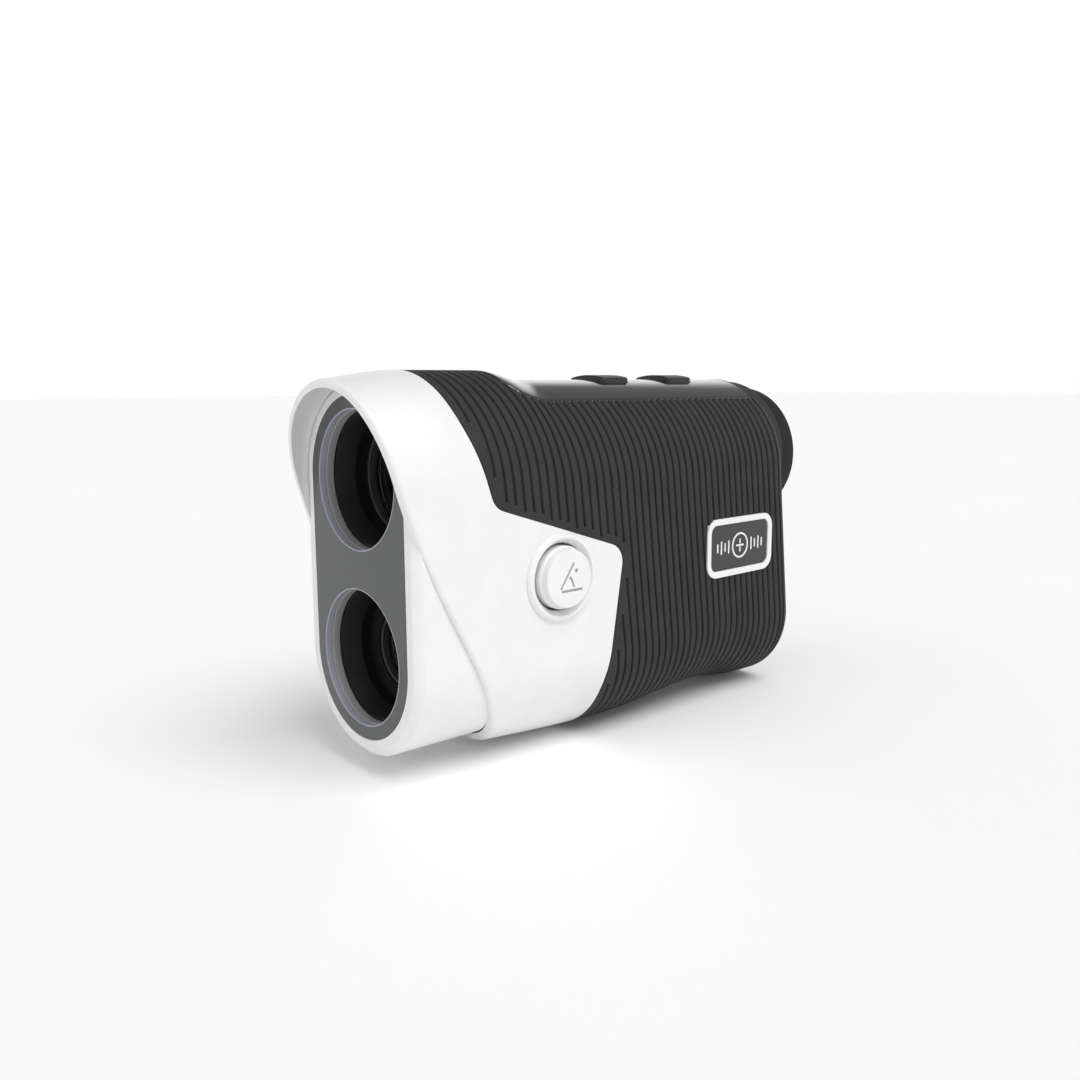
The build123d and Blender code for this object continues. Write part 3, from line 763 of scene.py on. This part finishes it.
def make_lens_group(name, z, bore, lens_r, rear_r, rear_end):
    """Trim ring, barrel, lock ring and lens of one front lens."""
    trim = [(12.85, 0), (13.04, 0), (13.04, 1.3), (14.5, 1.3), (14.5, 3.0), (12.7, 3.0), (12.78, 1.5),
            (12.98, 1.46), (12.98, 1.36), (12.85, 1.3)]
    ring = turned(name + "_trim", softened(trim, 0.06, 3), z)
    place(ring, name + "_trim", "housing", name + "_trim_ring", slot="trim_aluminium")
    seat = LENS_DEEP + LENS_THICK
    cup, ledge = lens_r + 0.05, lens_r - 0.9
    barrel = [(BARREL_BORE, 3.05), (BARREL_R, 3.05), (BARREL_R, BARREL_STEP), (rear_r, BARREL_STEP),
              (rear_r, rear_end), (rear_r - 1.2, rear_end), (ledge, seat + 1.4), (ledge, seat),
              (cup, seat), (cup, LENS_DEEP - 1.1), (bore, LENS_DEEP - 1.1), (bore, 6.5)]
    tube = turned(name + "_barrel_tube", softened(barrel, 0.12, 3), z)
    place(tube, "barrel_black", "housing", name + "_barrel")
    sag = 0.13 * lens_r
    glass = lens_outline(lens_r, LENS_DEEP, LENS_DEEP + sag, seat - 0.6, seat - 0.2)
    place(turned(name + "_lens_glass", glass, z), "lens_glass", "housing", name + "_lens")
    inner, front, back = lens_r - 0.65, LENS_DEEP - 0.8, LENS_DEEP + 0.8 * sag
    lock = [(inner, front), (lens_r, front), (lens_r, back), (inner, back)]
    lock_ring = turned(name + "_lock_ring_turned", softened(lock, 0.12, 3), z)
    place(lock_ring, "lock_ring_dark", "housing", name + "_lock_ring")


# ---- slope button and badge ---------------------------------------------------------------
def make_slope_button():
    wall = SLOPE_WALL
    bezel = [(6.6, 16.0), (7.5, 16.0), (7.5, wall - 0.1), (8.7, wall - 0.1), (8.65, wall + 0.25),
             (8.15, wall + 0.8), (7.5, wall + 0.85), (7.0, wall + 0.1), (6.6, wall - 0.4)]
    ring = turned_x("slope_bezel_ring", softened(bezel, 0.3, 5))
    place(ring, "white_plastic", "housing", "slope_bezel", angle=50)
    cap = [(0, 13.0), (2.0, 13.0), (2.0, 15.0), (7.2, 15.0), (7.2, 15.8), (6.1, 15.8),
           (6.1, 20.5), (5.75, 20.9), (5.6, SLOPE_FACE), (0, SLOPE_FACE)]
    button = turned_x("slope_button_cap", softened(cap, 0.34, 6))
    carve(button, mesh_of("icon", icon_bars(SLOPE_FACE - ICON_DEPTH, SLOPE_FACE + 1), False))
    place(button, "white_plastic", "slope", "slope_button")
    # Grey sheets laid in the cut strokes are painted shade, standing for the shade inside the engraved
    # pictogram.
    strokes = icon_bars(SLOPE_FACE - ICON_DEPTH + 0.01, SLOPE_FACE - ICON_SHADE_SHEET)
    shade_sheet = mesh_of("slope_button_icon_shade", strokes, False)
    place(shade_sheet, "icon_cut_shade_grey", "slope", slot="white_plastic")


def bar_outline(a, b, half, steps=8):
    """A straight stroke with round ends, between two points."""
    a, b = np.array(a, float), np.array(b, float)
    along = (b - a) / np.linalg.norm(b - a)
    side = np.array([-along[1], along[0]])
    points = []
    for end, sign in ((b, 1), (a, -1)):
        for angle in np.linspace(-math.pi / 2, math.pi / 2, steps):
            points.append(end + sign * half * (math.cos(angle) * along + math.sin(angle) * side))
    return np.array(points)


def arc_outline(centre, radius, start, end, half, steps=14):
    """A curved stroke about a centre."""
    angles = np.radians(np.linspace(start, end, steps))
    directions = np.column_stack([np.cos(angles), np.sin(angles)])
    outer = centre + (radius + half) * directions
    inner = centre + (radius - half) * directions
    return np.concatenate([outer, inner[::-1]])


def icon_bars(low, high):
    """A plain angle sign: a level line, a rising line, the arc between them and a dot."""
    half = 0.24
    corner = np.array([-2.6, -2.3])
    rise = math.radians(55)
    climb = np.array([math.cos(rise), math.sin(rise)])
    outlines = [bar_outline(corner + (0.7, 0), corner + (5.7, 0), half),
                bar_outline(corner + 0.7 * climb, corner + 6.3 * climb, half),
                arc_outline(corner, 3.7, 9, 46, half),
                bar_outline(corner + (4.3, 3.7), corner + (4.31, 3.7), 0.42)]
    bars = []
    for line in outlines:
        y, z = SLOPE_Y + line[:, 0], SLOPE_Z + line[:, 1]
        bars.append(np.array([np.column_stack([np.full(len(line), x), y, z]) for x in (low, high)]))
    return bars


def make_badge():
    section = [(0, -BADGE_SUNK), (0, BADGE_RAISED), (BADGE_STROKE, BADGE_RAISED),
               (BADGE_STROKE, -BADGE_SUNK)]
    outline = softened(section, 0.22, 4)
    ring = np.array([badge_loop(shrink, height) for shrink, height in outline])
    place(mesh_of("badge_frame_ring", [ring]), "white_plastic", "housing", "badge_frame")
    shrink = BADGE_STROKE + 0.05
    bevel = 0.08
    plate = np.array([badge_loop(shrink, -BADGE_SUNK), badge_loop(shrink, -bevel),
                      badge_loop(shrink + bevel, 0.0)])
    place(mesh_of("badge_panel", [plate], False), "badge_black", "housing", "badge_plate")
    place(mesh_of("badge_reticle", reticle_stacks(), reticle_wraps()), "white_plastic", "housing")


RETICLE_R = 2.7
TICKS = [(4.1, 1.3), (5.4, 0.8), (6.7, 1.3), (8.0, 0.8)]


def reticle_stacks():
    """A plain aiming mark in raised white strokes: a ring with a cross and a scale of ticks."""
    low, high, half = -0.05, 0.12, 0.2
    angles = np.linspace(0, 2 * math.pi, 48, endpoint=False)
    ring = []
    for shift, height in ((-half, low), (half, low), (half, high), (-half, high)):
        radius = RETICLE_R + shift
        ring.append(on_badge(np.column_stack([radius * np.cos(angles), radius * np.sin(angles)]), height))
    strokes = [bar_outline((-1.2, 0), (1.2, 0), half), bar_outline((0, 0.55), (0, 1.3), half),
               bar_outline((0, -1.3), (0, -0.55), half)]
    for sign in (-1, 1):
        strokes += [bar_outline((sign * at, -size), (sign * at, size), half) for at, size in TICKS]
    bars = [np.array([on_badge(line, low), on_badge(line, high)]) for line in strokes]
    return [np.array(ring)] + bars


def reticle_wraps():
    return [True] + [False] * (3 + 2 * len(TICKS))


# ---- eyepiece -----------------------------------------------------------------------------
def make_eyepiece():
    cup = [(14.45, EYE_FRONT), (EYE_R, EYE_FRONT), (EYE_R, EYE_END), (12.6, EYE_END), (12.4, 111.8),
           (12.9, 111.45), (14.45, 111.45)]
    place(turned("eyecup_rubber_ring", softened(cup, 0.7, 6)), "eyecup_rubber", "diopter", "eyecup")
    glass = lens_outline(EYE_LENS_R, 102.2, 103.4, 106.2, 107.5)
    place(turned("eye_lens_glass", glass), "lens_glass", "eyepiece", "eye_lens")


# ---- camera, lights and floor -------------------------------------------------------------
CAMERA_AT = (0.15985, -0.09450, 0.01719)
CAMERA_TURN, CAMERA_DOWN, CAMERA_ROLL = 49.00, 8.82, -0.34
CAMERA_LENS = 33.67
WALL_LIGHT, CEILING_LIGHT = 1.0, 0.22
WALL_TOP, CEILING_EDGE = 0.36, 0.52      # heights on the unit sphere of directions
SUNS = [("key_sun", (0.54, 0.05, 0.84), 1.95, 40), ("fill_sun", (0.10, -0.62, 0.78), 0.45, 60)]
FLOOR_HALF, FLOOR_DROP = 6.0, 0.0002       # metres


def make_camera():
    turn, down, roll = (math.radians(angle) for angle in (CAMERA_TURN, CAMERA_DOWN, CAMERA_ROLL))
    back = Vector((math.sin(turn) * math.cos(down), -math.cos(turn) * math.cos(down), math.sin(down)))
    right = (-back).cross(Vector((0, 0, 1))).normalized()
    up = right.cross(-back)
    side = math.cos(roll) * right + math.sin(roll) * up
    rise = -math.sin(roll) * right + math.cos(roll) * up
    data = bpy.data.cameras.new("camera")
    data.lens = CAMERA_LENS
    data.sensor_width = 36.0
    data.clip_start = 0.005
    camera = bpy.data.objects.new("camera", data)
    camera.matrix_world = Matrix.Translation(CAMERA_AT) @ Matrix((side, rise, back)).transposed().to_4x4()
    bpy.context.scene.collection.objects.link(camera)
    bpy.context.scene.camera = camera


def make_sun(name, towards, strength, spread_degrees):
    """A broad soft light from far away, so that the floor is lit evenly."""
    data = bpy.data.lights.new(name, "SUN")
    data.energy = strength
    data.angle = math.radians(spread_degrees)
    light = bpy.data.objects.new(name, data)
    light.rotation_mode = "QUATERNION"
    light.rotation_quaternion = Vector(towards).to_track_quat("Z", "Y")
    bpy.context.scene.collection.objects.link(light)


def make_world():
    """A white room: a bright wall all round the horizon under a dimmer ceiling."""
    world = bpy.data.worlds.new("studio")
    world.use_nodes = True
    tree = world.node_tree
    light = tree.nodes["Background"]
    light.inputs["Color"].default_value = (1, 1, 1, 1)
    direction = tree.nodes.new("ShaderNodeTexCoord")
    split = tree.nodes.new("ShaderNodeSeparateXYZ")
    tree.links.new(direction.outputs["Generated"], split.inputs["Vector"])
    strength = spread(tree, split.outputs["Z"], WALL_LIGHT, CEILING_LIGHT, WALL_TOP, CEILING_EDGE)
    tree.links.new(strength, light.inputs["Strength"])
    bpy.context.scene.world = world


def make_floor():
    level = CAD_LOW.z - FLOOR_DROP
    corners = [(x * FLOOR_HALF, y * FLOOR_HALF, level) for x, y in ((-1, -1), (1, -1), (1, 1), (-1, 1))]
    mesh = bpy.data.meshes.new("floor")
    mesh.from_pydata(corners, [], [(0, 1, 2, 3)])
    look = surface_look("floor_white", grey(250), grey(252), (0.85, 0.95), 2.0, 0.02, patch=80.0)
    mesh.materials.append(look)
    floor = bpy.data.objects.new("floor", mesh)
    bpy.context.scene.collection.objects.link(floor)


def make_stage():
    for sun in SUNS:
        make_sun(*sun)
    make_world()
    make_floor()
    bpy.context.scene.view_settings.view_transform = "Standard"


def dress_model_nodes():
    """Gives every node of the model the material of its slot; the shown ones keep their shape."""
    trims = {"objective_trim_ring": "objective_trim", "receiver_trim_ring": "receiver_trim"}
    for name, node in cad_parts.items():
        for place_in in node.material_slots:
            slot = place_in.material.name.split(".")[0]
            place_in.material = LOOKS[trims.get(name, slot)]


# ---- assembly -----------------------------------------------------------------------------
make_camera()
dress_model_nodes()
make_front_shell()
make_grip_sleeve()
make_top_cover()
for key_name, key_centre in KEY_CENTRES.items():
    make_key(key_name, key_centre)
make_domes()
make_snout()
make_lens_group("objective", 0.0, 10.6, 10.5, 13.0, 38.0)
make_lens_group("receiver", LOW, 10.4, 7.4, 10.0, 24.0)
make_slope_button()
make_badge()
make_eyepiece()
make_stage()
